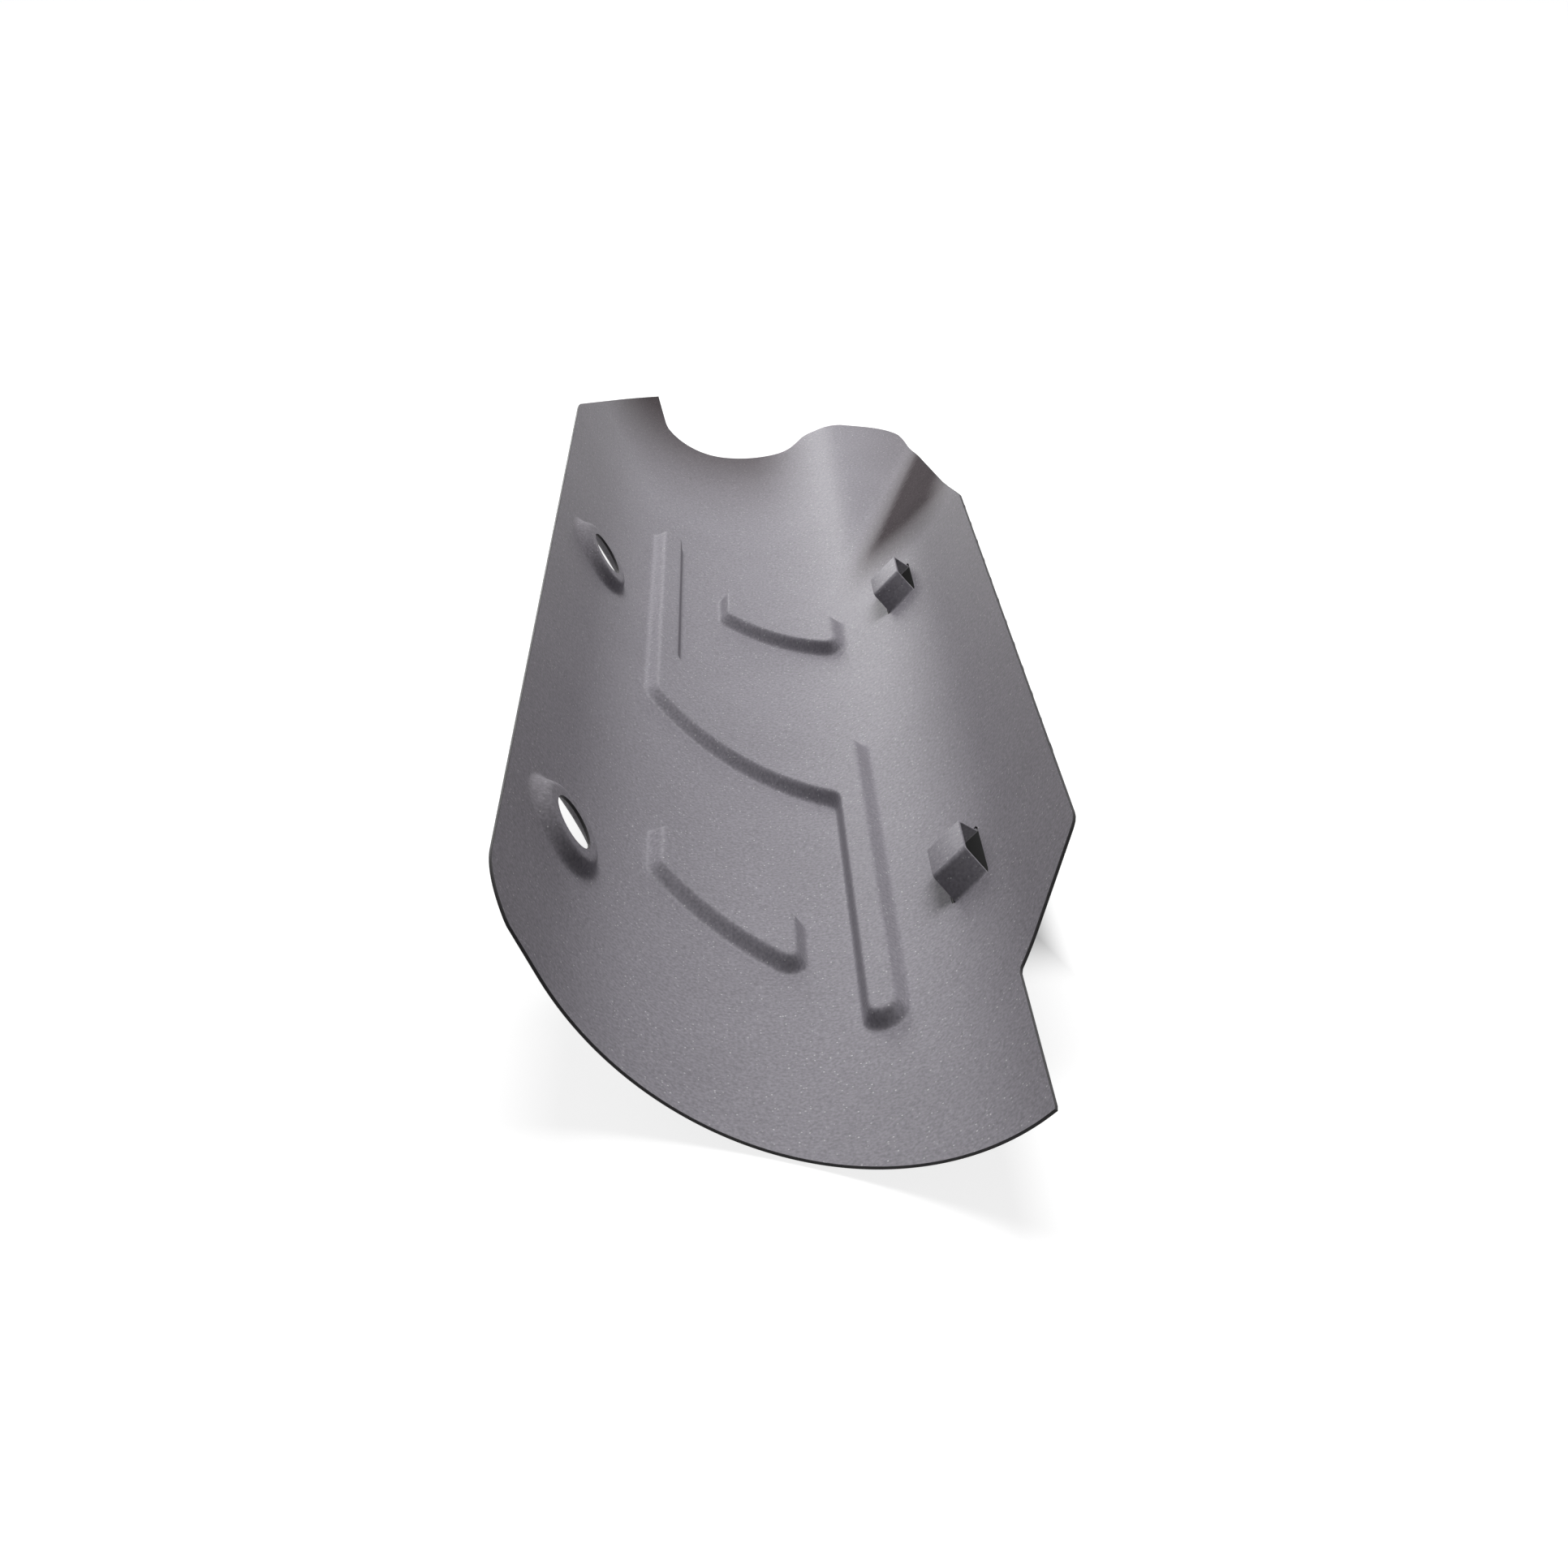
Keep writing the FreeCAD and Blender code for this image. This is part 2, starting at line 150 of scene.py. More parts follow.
def corner_reach(angle, y):
    """Distance from the axis to the turned-out corner: a flat floor, a bend and a side."""
    least_cosine = 0.05      # keeps directions that miss the floor finite
    floor = floor_depth / np.maximum(np.cos(angle), least_cosine)
    side = corner_side_reach(angle, y)
    return np.where(angle > 0, soft_min(floor, side, crease_softness), 0.0)


# Bolt seats: flat cones pressed in around the two bolt holes of the left wall
station_near_y = 66.2
station_far_y = 210.4
stations = (station_near_y, station_far_y)
bolt_angle = math.radians(-60.5)
bolt_radius = 5.25
seat_height = 2.6
seat_flat_radius = 8.0
seat_slope = 1.0
seat_softness = 0.9
seat_flat_softness = 0.5


def seat_reach(angle, y, station):
    """Distance from the axis to one bolt seat, followed down its cone in a few steps."""
    least_cosine = 0.2       # keeps points far round from the seat finite
    cone_steps = 6
    turned = angle - bolt_angle
    ahead = np.maximum(np.cos(turned), least_cosine)
    reach = (back_radius - seat_height) / ahead
    for _ in range(cone_steps):
        out = np.hypot(reach * np.sin(turned), y - station)
        slope_down = (out - seat_flat_radius) / seat_slope
        down = soft_max(slope_down, np.zeros_like(out), seat_flat_softness)
        reach = (back_radius - seat_height + down) / ahead
    return reach


# Rib and pads: outlines in unrolled millimetres, x along the arc of the back, y along the pipe
press_height = 3.0
press_run = 1.7
press_ease = 0.4             # how far the rounded shoulders reach past the wall on each side
rib_leg = 8.6
rib_left_x = -25.0
rib_right_x = 17.0
rib_near_y = 29.5
rib_far_y = 270.5
rib_band = 33.0
rib_slope = 1.05
rib_end_radius = 4.1
rib_bend_radius = 7.7
pad_width = 30.6
pad_length = 22.0
pad_slope = 1.0
pad_blunt_radius = 4.8
pad_sharp_radius = 3.0
pad_centres = ((-11.2, 75.0), (4.8, 218.5))


def rounded_outline(corners, radii, margin=0.0, arc_steps=7):
    """Outline with round corners, moved outwards by a margin; corners anticlockwise."""
    count = len(corners)
    corners = [np.array(corner, float) for corner in corners]
    points = []
    for i in range(count):
        into = corners[i] - corners[i - 1]
        away = corners[(i + 1) % count] - corners[i]
        into = into / np.linalg.norm(into)
        away = away / np.linalg.norm(away)
        turn = math.atan2(into[0] * away[1] - into[1] * away[0], float(into @ away))
        side = 1.0 if turn > 0 else -1.0
        radius = max(radii[i] + side * margin, 0.0)
        half = abs(turn) / 2
        right_hand = np.array([into[1], -into[0]])
        right_hand_away = np.array([away[1], -away[0]])
        spread = 1 + right_hand @ right_hand_away
        corner = corners[i] + margin * (right_hand + right_hand_away) / spread
        if radii[i] == 0:
            points.append(corner)
            continue
        start = corner - into * radius * math.tan(half)
        centre = start - side * right_hand * radius
        first = math.atan2(*(start - centre)[::-1])
        for k in range(arc_steps + 1):
            angle = first + turn * k / arc_steps
            points.append(centre + radius * np.array([math.cos(angle), math.sin(angle)]))
    return np.array(points)


def rib_corners():
    half_leg = rib_leg / 2
    half_band = rib_band / 2
    middle_x = (rib_left_x + rib_right_x) / 2
    middle_y = (rib_near_y + rib_far_y) / 2

    def band_y(x, side):
        return middle_y - rib_slope * (x - middle_x) + side * half_band

    left_out, left_in = rib_left_x - half_leg, rib_left_x + half_leg
    right_in, right_out = rib_right_x - half_leg, rib_right_x + half_leg
    return [(left_out, band_y(left_out, -1)), (right_in, band_y(right_in, -1)),
            (right_in, rib_near_y), (right_out, rib_near_y),
            (right_out, band_y(right_out, 1)), (left_in, band_y(left_in, 1)),
            (left_in, rib_far_y), (left_out, rib_far_y)]


def pad_corners(centre):
    half_width, half_length = pad_width / 2, pad_length / 2
    x, y = centre
    lift = pad_slope * half_width
    return [(x - half_width, y + lift - half_length), (x + half_width, y - lift - half_length),
            (x + half_width, y - lift + half_length), (x - half_width, y + lift + half_length)]


rib_radii = [rib_bend_radius, rib_bend_radius - 2 * press_run, rib_end_radius, rib_end_radius,
             rib_bend_radius, rib_bend_radius - 2 * press_run, rib_end_radius, rib_end_radius]
pressings = [(rib_corners(), rib_radii)]
pad_radii = [pad_blunt_radius, pad_sharp_radius] * 2
pressings += [(pad_corners(centre), pad_radii) for centre in pad_centres]


def along(points, step, closed=True):
    """The same line with its points evenly spaced."""
    if closed:
        points = np.vstack([points, points[:1]])
    lengths = np.linalg.norm(np.diff(points, axis=0), axis=1)
    travelled = np.concatenate([[0], np.cumsum(lengths)])
    count = max(int(round(travelled[-1] / step)), 2)
    places = np.linspace(0, travelled[-1], count + 1)
    if closed:
        places = places[:-1]
    return np.column_stack([np.interp(places, travelled, points[:, k]) for k in (0, 1)])


def within(outline, x, y):
    """True where a point lies inside a closed outline."""
    inside = np.zeros(x.shape, bool)
    for (ax, ay), (bx, by) in zip(outline, np.roll(outline, -1, axis=0)):
        if ay == by:
            continue
        crosses = (ay > y) != (by > y)
        inside ^= crosses & (x < ax + (y - ay) * (bx - ax) / (by - ay))
    return inside


def depth_inside(outline, x, y):
    """Distance to a closed outline, positive inside it."""
    nearest = np.full(x.shape, np.inf)
    for a, b in zip(outline, np.roll(outline, -1, axis=0)):
        run = b - a
        share = ((x - a[0]) * run[0] + (y - a[1]) * run[1]) / (run @ run)
        share = np.clip(share, 0.0, 1.0)
        gap = np.hypot(x - a[0] - share * run[0], y - a[1] - share * run[1])
        nearest = np.minimum(nearest, gap)
    return np.where(within(outline, x, y), nearest, -nearest)


press_outlines = [rounded_outline(corners, radii, arc_steps=10) for corners, radii in pressings]


def press_up(x, y):
    """Height that the rib and the pads stand up from the back."""
    height = np.zeros(x.shape)
    for outline in press_outlines:
        low = outline.min(axis=0) - 2 * press_ease
        high = outline.max(axis=0) + 2 * press_ease
        close = (x > low[0]) & (x < high[0]) & (y > low[1]) & (y < high[1])
        if not close.any():
            continue
        depth = depth_inside(outline, x[close], y[close])
        share = np.clip((depth + press_ease) / (press_run + 2 * press_ease), 0.0, 1.0)
        height[close] = np.maximum(height[close], press_height * share * share * (3 - 2 * share))
    return height


def inside_face(x, y):
    """Points of the sheet's inside face; x is the angle times the back's radius."""
    angle = x / back_radius
    reach = soft_max(trough_reach(angle), corner_reach(angle, y), ridge_softness)
    fade_start = right_rim_end_y - corner_fade / 2
    share = np.clip((y - fade_start) / corner_fade, 0.0, 1.0) * (angle > 0)
    reach = trough_reach(angle) + (reach - trough_reach(angle)) * share
    least_reach = 1.0        # keeps a seat's cone from running through the axis
    for station in stations:
        seat = np.maximum(seat_reach(angle, y, station), least_reach)
        reach = soft_min(reach, seat, seat_softness)
    reach = reach - press_up(x, y)
    return np.column_stack([reach * np.sin(angle), y, axis_height - reach * np.cos(angle)])


def outward_normals(x, y):
    """Directions away from the trough's axis, square to the inside face."""
    small = 0.02
    across = inside_face(x + small, y) - inside_face(x - small, y)
    down = inside_face(x, y + small) - inside_face(x, y - small)
    normal = -np.cross(across, down)
    return normal / np.linalg.norm(normal, axis=1)[:, None]


halvings = 40


def x_at(y, test, low, high):
    """Unrolled x where a test of the face's point changes sign, by halving."""
    for _ in range(halvings):
        middle = (low + high) / 2
        point = inside_face(np.array([middle]), np.array([y]))[0]
        if test(point) > 0:
            high = middle
        else:
            low = middle
    return (low + high) / 2


def plan_to_face(points):
    """Plan points (x, y) set down on the inside face, in unrolled millimetres."""
    search_x = 1.3 * back_radius
    return np.array([(x_at(y, lambda p: p[0] - x, -search_x, search_x), y) for x, y in points])


# The outline, followed anticlockwise from the big round corner at the near left
rim_left_x = -back_radius * wall_angle(left_wall)
rim_right_x = back_radius * wall_angle(right_wall)
rim_left_z = axis_height - back_radius * math.cos(back_half_angle)
rim_left_z += left_wall * math.sin(back_half_angle)
rim_right_z = axis_height - rim_depth
left_end_z = rim_left_z - left_rim_drop
right_end_z = rim_right_z - right_rim_drop
corner_foot_z = axis_height - floor_depth + corner_side_foot
crease_end_y = corner_start_y + (corner_edge_x - crease_start_x) / corner_crease_slope

# Spacing of the points along its stretches
fine_step = 1.0
plan_step = 1.2
side_step = 1.3
outline_step = 1.25
near_corner_steps = 24
near_edge_points = 100
strip_points = 34
lobe_points = 80


def near_edge(angle):
    return near_edge_y - near_edge_skew * float(trough_reach(angle)) * math.sin(angle)


def near_left_corner():
    centre_run = left_wall - near_left_radius
    centre_y = near_edge(-back_half_angle) + near_left_radius - near_left_dip
    points = []
    for k in range(near_corner_steps + 1):
        turn = math.radians(90 * k / near_corner_steps)
        run = centre_run + near_left_radius * math.cos(turn)
        y = centre_y - near_left_radius * math.sin(turn)
        angle = -wall_angle(run)
        if y < near_edge(angle):
            break
        points.append((angle * back_radius, y))
    return points


def right_step():
    strip_run = -back_radius * math.sin(back_half_angle - near_strip_angle)
    rim_y = step_start_y + (right_wall - strip_run) * step_slope
    rim_run = 20.0           # how far this stretch follows the rim past the step
    flat = rounded_outline([(strip_run, step_start_y), (right_wall, rim_y),
                            (right_wall, rim_y + rim_run), (strip_run, rim_y + rim_run)],
                           [0, step_radius, 0, 0])
    flat = along(flat[:-1], fine_step, closed=False)
    return [(wall_angle(run) * back_radius, y) for run, y in flat]


def height_edge(y_from, y_to, z_from, z_to, step):
    """The right wall's edge where it runs at a stated height above the ground."""
    points = []
    search_low, search_high = 0.3 * back_radius, rim_right_x + 6.0
    count = max(int(abs(y_to - y_from) / step), 2)
    for k in range(count + 1):
        y = y_from + (y_to - y_from) * k / count
        z = z_from + (z_to - z_from) * k / count
        points.append((x_at(y, lambda p: p[2] - z, search_low, search_high), y))
    return points


def left_far_edge():
    """From the pointed tip beside the notch back up to the end of the left rim."""
    def edge_x(y):
        z = left_end_z - left_far_fall * (y - left_rim_end_y)
        ratio = (axis_height - z) / back_radius
        if ratio > math.cos(back_half_angle):
            return -back_radius * math.acos(ratio)
        run = (z - axis_height + back_radius * math.cos(back_half_angle))
        return -back_radius * wall_angle(run / math.sin(back_half_angle))

    def notch_x(y):
        slope = (notch_low_left[0] - notch_left_x) / (far_left_y - notch_low_left[1])
        x = notch_left_x + slope * (far_left_y - y)
        return back_radius * math.asin(x / back_radius)

    past_tip = 10.0
    low, high = notch_low_left[1] + notch_left_radius, far_left_y + past_tip
    for _ in range(halvings):
        tip_y = (low + high) / 2
        if edge_x(tip_y) < notch_x(tip_y):
            low = tip_y
        else:
            high = tip_y
    points = []
    for k in range(lobe_points + 1):
        y = tip_y + (left_rim_end_y - tip_y) * k / lobe_points
        points.append((edge_x(y), y))
    points.append((rim_left_x, left_rim_end_y - left_rim_ease))
    return tip_y, points


tip_y, left_far_points = left_far_edge()
notch_slope = (notch_low_left[0] - notch_left_x) / (far_left_y - notch_low_left[1])
tip_x = notch_left_x + notch_slope * (far_left_y - tip_y)
plan = rounded_outline([(corner_edge_x, crease_end_y), (corner_edge_x, far_right_y), far_tip,
                        notch_low_right, notch_low_left, (tip_x, tip_y)],
                       [0, corner_outer_radius, far_tip_radius, notch_right_radius,
                        notch_left_radius, 0])
plan = along(plan, plan_step, closed=False)
plan = plan[int(corner_join_ease / plan_step):]
strip_x = back_radius * near_strip_angle
near_corner = near_left_corner()
near_start_angle = near_corner[-1][0] / back_radius
near_angles = np.linspace(near_start_angle, near_strip_angle, near_edge_points)
strip_ys = np.linspace(near_edge(near_strip_angle), step_start_y, strip_points)

outline = [tuple(point) for point in near_corner[:-1]]
outline += [(angle * back_radius, near_edge(angle)) for angle in near_angles]
outline += [(strip_x, y) for y in strip_ys[1:-1]]
outline += right_step()
ease_y = right_rim_end_y - right_rim_ease
outline += height_edge(ease_y, right_rim_end_y, rim_right_z, right_end_z, fine_step)
side_edge = height_edge(right_rim_end_y, crease_end_y, right_end_z, corner_foot_z, side_step)
outline += [(x, y) for x, y in side_edge[1:] if y < crease_end_y - corner_join_ease]
outline += [tuple(point) for point in plan_to_face(plan)]
outline += left_far_points[1:]
outline = along(np.array(outline), outline_step)
eased = np.abs(outline[:, 1] - crease_end_y) < corner_join_reach
eased |= np.abs(outline[:, 1] - right_rim_end_y) < rim_end_ease
eased &= outline[:, 0] > 0
for _ in range(easing_passes):
    beside = (np.roll(outline, 1, axis=0) + np.roll(outline, -1, axis=0)) / 2
    outline[eased] = (outline[eased] + beside[eased]) / 2

# Holes: the two bolt holes and the two windows under the straps
strap_angle = math.radians(47.0)
strap_width = 8.0
strap_height = 5.2
strap_top_length = 10.5
strap_base_length = 16.5
strap_slit = 0.45
strap_bend_radius = 0.8
strap_leg_angle = math.atan2(strap_height, (strap_base_length - strap_top_length) / 2)
window_half_length = strap_base_length / 2
window_half_length += (strap_bend_radius + sheet) * math.tan(strap_leg_angle / 2)
hole_points = 36
window_step = 0.9


def bolt_hole(station):
    points = []
    for k in range(hole_points):
        turn = 2 * math.pi * k / hole_points
        angle = bolt_angle + math.atan(bolt_radius * math.cos(turn) / (back_radius - seat_height))
        points.append((angle * back_radius, station + bolt_radius * math.sin(turn)))
    return np.array(points)


def window(station):
    half = strap_width / 2 + strap_slit
    corners = [(-half, -window_half_length), (half, -window_half_length),
               (half, window_half_length), (-half, window_half_length)]
    flat = along(rounded_outline(corners, [strap_slit] * 4, arc_steps=4), window_step)
    x = back_radius * (strap_angle + np.arcsin(flat[:, 0] / back_radius))
    return np.column_stack([x, station + flat[:, 1]])


holes = [bolt_hole(station) for station in stations]
holes += [window(station) for station in stations]

# Rows of points that follow the pressed walls, the seats and the corner's bends
press_margins = (1.1, press_ease, 0.1, -0.2, -0.5, -0.85, -1.2, -1.5, -1.8, -2.1, -2.8)
press_row_step = 1.3
seat_radii = (6.2, 7.0, 7.6, 8.1, 8.6, 9.1, 9.6, 10.1, 10.6, 11.1, 11.8, 12.8)
seat_row_points = 48
bend_offsets = np.linspace(-3.5, 3.5, 13)
bend_step = 1.5
ridge_step = 1.8
bend_lead = 26.0             # how far the rows start before the corner, and run past the edge
ridge_lead = 10.0
past_edge = 12.0

rows = []
for corners, radii in pressings:
    for margin in press_margins:
        row = rounded_outline(corners, radii, margin, arc_steps=12)
        rows.append(along(row, press_row_step))
for station in stations:
    for distance in seat_radii:
        turns = np.linspace(0, 2 * math.pi, seat_row_points, endpoint=False)
        reach = distance / (back_radius - seat_height)
        x = back_radius * (bolt_angle + reach * np.cos(turns))
        rows.append(np.column_stack([x, station + distance * np.sin(turns)]))
bends = []
for offset in bend_offsets:
    ys = np.arange(corner_start_y - bend_lead, far_right_y + past_edge, bend_step)
    crease_x = crease_start_x + corner_crease_slope * (ys - corner_start_y)
    bends.append(np.column_stack([back_radius * np.arctan2(crease_x, floor_depth) + offset, ys]))
    ridge_ys = np.arange(corner_start_y - ridge_lead, far_right_y + past_edge, ridge_step)
    ridge_x = np.full(ridge_ys.shape, back_radius * corner_angle)
    bends.append(np.column_stack([ridge_x + offset, ridge_ys]))

loops = [outline] + holes + rows
fixed = [tuple(point) for loop in loops for point in loop]
edges = []
first = 0
for loop in loops:
    count = len(loop)
    edges += [(first + k, first + (k + 1) % count) for k in range(count)]
    first += count


def keep_clear(candidates, taken, gap):
    """The candidates that stay clear of the points already taken, and of one another."""
    tree = KDTree(len(taken))
    for k, (x, y) in enumerate(taken):
        tree.insert((x, y, 0.0), k)
    tree.balance()
    return [(x, y) for x, y in candidates if tree.find((x, y, 0.0))[2] > gap]


bend_gap = 0.42
grid_gap = 1.1
grid_step = 2.3
weld_gap = 1e-5
fill = list(fixed)
for bend in bends:
    fill += keep_clear(bend, fill, bend_gap)
grid_x, grid_y = np.meshgrid(np.arange(rim_left_x, rim_right_x, grid_step),
                             np.arange(outline[:, 1].min(), outline[:, 1].max(), grid_step))
grid_x[1::2] += grid_step / 2
grid = np.column_stack([grid_x.ravel(), grid_y.ravel()])
grid = grid[within(outline, grid[:, 0], grid[:, 1])]
fill += keep_clear(grid, fill, grid_gap)

net = delaunay_2d_cdt([Vector(point) for point in fill], edges, [], 0, weld_gap)
flat = np.array([(v.x, v.y) for v in net[0]])
triangles = np.array([face for face in net[2] if len(face) == 3])
middles = flat[triangles].mean(axis=1)
kept = within(outline, middles[:, 0], middles[:, 1])
for hole in holes:
    kept &= ~within(hole, middles[:, 0], middles[:, 1])
triangles = triangles[kept]
used = np.unique(triangles)
renumber = np.full(len(flat), -1)
renumber[used] = np.arange(len(used))
flat = flat[used]
triangles = renumber[triangles]
spans = flat[triangles]
span_a = spans[:, 1] - spans[:, 0]
span_b = spans[:, 2] - spans[:, 0]
clockwise = span_a[:, 0] * span_b[:, 1] - span_a[:, 1] * span_b[:, 0] < 0
triangles[clockwise] = triangles[clockwise][:, ::-1]

# The two faces of the sheet, and its sheared edge with a fine broken corner on each side
edge_break = 0.1
least_length = 1e-9          # keeps a division by a length finite
inner = inside_face(flat[:, 0], flat[:, 1])
away = outward_normals(flat[:, 0], flat[:, 1])
directed = {}
for a, b, c in triangles.tolist():
    for start, end in ((a, b), (b, c), (c, a)):
        directed[(start, end)] = True
rim_edges = [pair for pair in directed if (pair[1], pair[0]) not in directed]
out_of_sheet = np.zeros(inner.shape)
for start, end in rim_edges:
    direction = inner[end] - inner[start]
    sideways = np.cross(direction, -away[start])
    sideways = sideways / max(np.linalg.norm(sideways), least_length)
    out_of_sheet[start] += sideways
    out_of_sheet[end] += sideways
rim = sorted({vertex for pair in rim_edges for vertex in pair})
lengths = np.linalg.norm(out_of_sheet[rim], axis=1)
out_of_sheet[rim] /= np.maximum(lengths, least_length)[:, None]
inset = out_of_sheet * edge_break
count = len(inner)
place = {vertex: k for k, vertex in enumerate(rim)}
points = np.vstack([inner - inset,
                    inner + away * sheet - inset,
                    inner[rim] + away[rim] * edge_break,
                    inner[rim] + away[rim] * (sheet - edge_break)])
faces = triangles.tolist()
faces += [(c + count, b + count, a + count) for a, b, c in triangles.tolist()]
for start, end in rim_edges:
    high_start, high_end = 2 * count + place[start], 2 * count + place[end]
    low_start, low_end = high_start + len(rim), high_end + len(rim)
    faces.append((end, start, high_start, high_end))
    faces.append((high_end, high_start, low_start, low_end))
    faces.append((low_end, low_start, start + count, end + count))

# The trough's frame is set over the CAD box: the left rim gives its x, the near strip its y
half_width = (back_radius + sheet) * math.sin(back_half_angle)
half_width += left_wall * math.cos(back_half_angle)
near_strip_y = near_edge_y - near_edge_skew * (back_radius + sheet) * math.sin(near_strip_angle)
shift = np.array([cad_low.x * 1000 + half_width, cad_low.y * 1000 - near_strip_y, 0.0])


def to_frame(point):
    """A point of the trough's own frame, in millimetres, in the part's frame in metres."""
    return [(point[k] + shift[k]) / 1000 for k in range(3)]


# Painted shade, darker and browner, at the rims, the far end and the bend: spans over which it
# fades in
rim_painted_shade = 0.4
rim_painted_shade_x = (24.0, 50.0)
far_painted_shade_x = (22.0, 0.0)
far_painted_shade_y = (290.0, 395.0)
bend_painted_shade_across = (-5.0, 4.0)
bend_painted_shade_height = (42.0, 18.0)
bend_painted_shade_along = (-24.0, 13.0)
side_start_lean = (corner_start_y - right_rim_end_y) / (floor_depth - rim_depth)


def rise(value, span):
    """Smooth rise from nought at the span's first value to one at its second."""
    start, end = span
    share = np.clip((value - start) / (end - start), 0.0, 1.0)
    return share * share * (3 - 2 * share)


def painted_shade_depth(x, y, z):
    """How much painted shade darkens and warms the coating: more at the rims, the far left end and
    the bend.
    """
    at_rim = rim_painted_shade * rise(np.abs(x), rim_painted_shade_x)
    at_far_end = rise(y, far_painted_shade_y) * rise(x, far_painted_shade_x)
    past_crease = x - crease_start_x - corner_crease_slope * (y - corner_start_y)
    up_side = z - axis_height + floor_depth
    past_start = y - corner_start_y + up_side * side_start_lean
    in_bend = rise(past_crease, bend_painted_shade_across) * rise(up_side, bend_painted_shade_height)
    in_bend = in_bend * rise(past_start, bend_painted_shade_along)
    return np.maximum(at_rim, np.maximum(at_far_end, in_bend))


cover_sharp_angle = math.radians(38)
cover_mesh = bpy.data.meshes.new("pressed_cover")
cover_mesh.from_pydata(((points + shift) / 1000).tolist(), [], faces)
cover_mesh.validate()
cover_mesh.shade_smooth()
cover_mesh.set_sharp_from_angle(angle=cover_sharp_angle)
cut_edge = cover_mesh.attributes.new("cut_edge", "FLOAT", "FACE")
uncut_faces = 2 * len(triangles)
cut_edge.data.foreach_set("value", [float(k >= uncut_faces) for k in range(len(faces))])
# The share of painted shade, stored on each point
painted_shade = cover_mesh.attributes.new("painted_shade", "FLOAT", "POINT")
painted_shade.data.foreach_set("value", painted_shade_depth(points[:, 0], points[:, 1], points[:, 2]))
cover = bpy.data.objects.new("pressed_cover", cover_mesh)
bpy.context.scene.collection.objects.link(cover)

# Finish: a satin silver-grey coating sprayed on the steel, with fine bright flakes and a faint
# grain. Painted shade makes it darker, browner and duller at the rims, the far end and the bend,
# and nearly black on the cut edge.
coating_colour = (0.262, 0.25, 0.278)
flake_colour = (0.62, 0.61, 0.63, 1.0)
# Painted shade: the cut edge is painted nearly black for the sheet's thickness in shadow
cut_edge_painted_shade = (0.05, 0.048, 0.05, 1.0)
# Painted shade: the tint multiplied in where the coating stands in shadow
painted_shade_tint = (0.36, 0.33, 0.315, 1.0)
coating_gloss = 0.14
coating = bpy.data.materials.new("coated_steel")
coating.use_nodes = True
coat = coating.node_tree
surface = coat.nodes["Principled BSDF"]
surface.inputs["Roughness"].default_value = 0.5
where = coat.nodes.new("ShaderNodeTexCoord")


def combined(tree, operation, first, second):
    """Two values put together, such as by MAXIMUM or MULTIPLY."""
    node = tree.nodes.new("ShaderNodeMath")
    node.operation = operation
    tree.links.new(first, node.inputs[0])
    tree.links.new(second, node.inputs[1])
    return node.outputs["Value"]


def level(tree, value, low, high, start=0.0, end=1.0):
    """A value that runs from start to end, spread evenly between two levels."""
    node = tree.nodes.new("ShaderNodeMapRange")
    node.inputs["From Min"].default_value = start
    node.inputs["From Max"].default_value = end
    node.inputs["To Min"].default_value = low
    node.inputs["To Max"].default_value = high
    tree.links.new(value, node.inputs["Value"])
    return node.outputs["Result"]


def sprayed_noise(scale, detail):
    """Soft noise fixed to the metal."""
    node = coat.nodes.new("ShaderNodeTexNoise")
    node.inputs["Scale"].default_value = scale
    node.inputs["Detail"].default_value = detail
    coat.links.new(where.outputs["Object"], node.inputs["Vector"])
    return node.outputs["Fac"]


def stored(name):
    """A share that was stored on the mesh."""
    node = coat.nodes.new("ShaderNodeAttribute")
    node.attribute_name = name
    return node.outputs["Fac"]


def laid_over(base, colour, share, blend="MIX"):
    """A colour laid over the coat so far, by a share."""
    node = coat.nodes.new("ShaderNodeMix")
    node.data_type = "RGBA"
    node.blend_type = blend
    node.inputs[7].default_value = colour
    coat.links.new(share, node.inputs[0])
    coat.links.new(base, node.inputs[6])
    return node.outputs[2]


flake_cells = coat.nodes.new("ShaderNodeTexVoronoi")
flake_cells.inputs["Scale"].default_value = 2300.0
coat.links.new(where.outputs["Object"], flake_cells.inputs["Vector"])
flake_draw = coat.nodes.new("ShaderNodeSeparateColor")
coat.links.new(flake_cells.outputs["Color"], flake_draw.inputs["Color"])
drawn_flakes = level(coat, flake_draw.outputs["Red"], 0.0, 1.0, start=0.93, end=0.99)
flake_cores = level(coat, flake_cells.outputs["Distance"], 0.0, 1.0, start=0.45, end=0.2)
flakes = combined(coat, "MULTIPLY", drawn_flakes, flake_cores)

grain = sprayed_noise(scale=1700.0, detail=3.0)
clouding = sprayed_noise(scale=26.0, detail=2.0)
tone = level(coat, clouding, 0.95, 1.05, start=0.3, end=0.7)
speckle = level(coat, grain, 0.8, 1.2, start=0.3, end=0.7)
shade = coat.nodes.new("ShaderNodeVectorMath")
shade.operation = "SCALE"
shade.inputs[0].default_value = coating_colour
coat.links.new(combined(coat, "MULTIPLY", tone, speckle), shade.inputs["Scale"])
painted_shade_share = stored("painted_shade")
coat_colour = laid_over(shade.outputs["Vector"], flake_colour, flakes)
# Painted shade: the coating darkened and warmed at the rims, the far end and the bend
coat_colour = laid_over(coat_colour, painted_shade_tint, painted_shade_share, "MULTIPLY")
# Painted shade laid on the cut edge's faces
coat_colour = laid_over(coat_colour, cut_edge_painted_shade, stored("cut_edge"))
coat.links.new(coat_colour, surface.inputs["Base Color"])
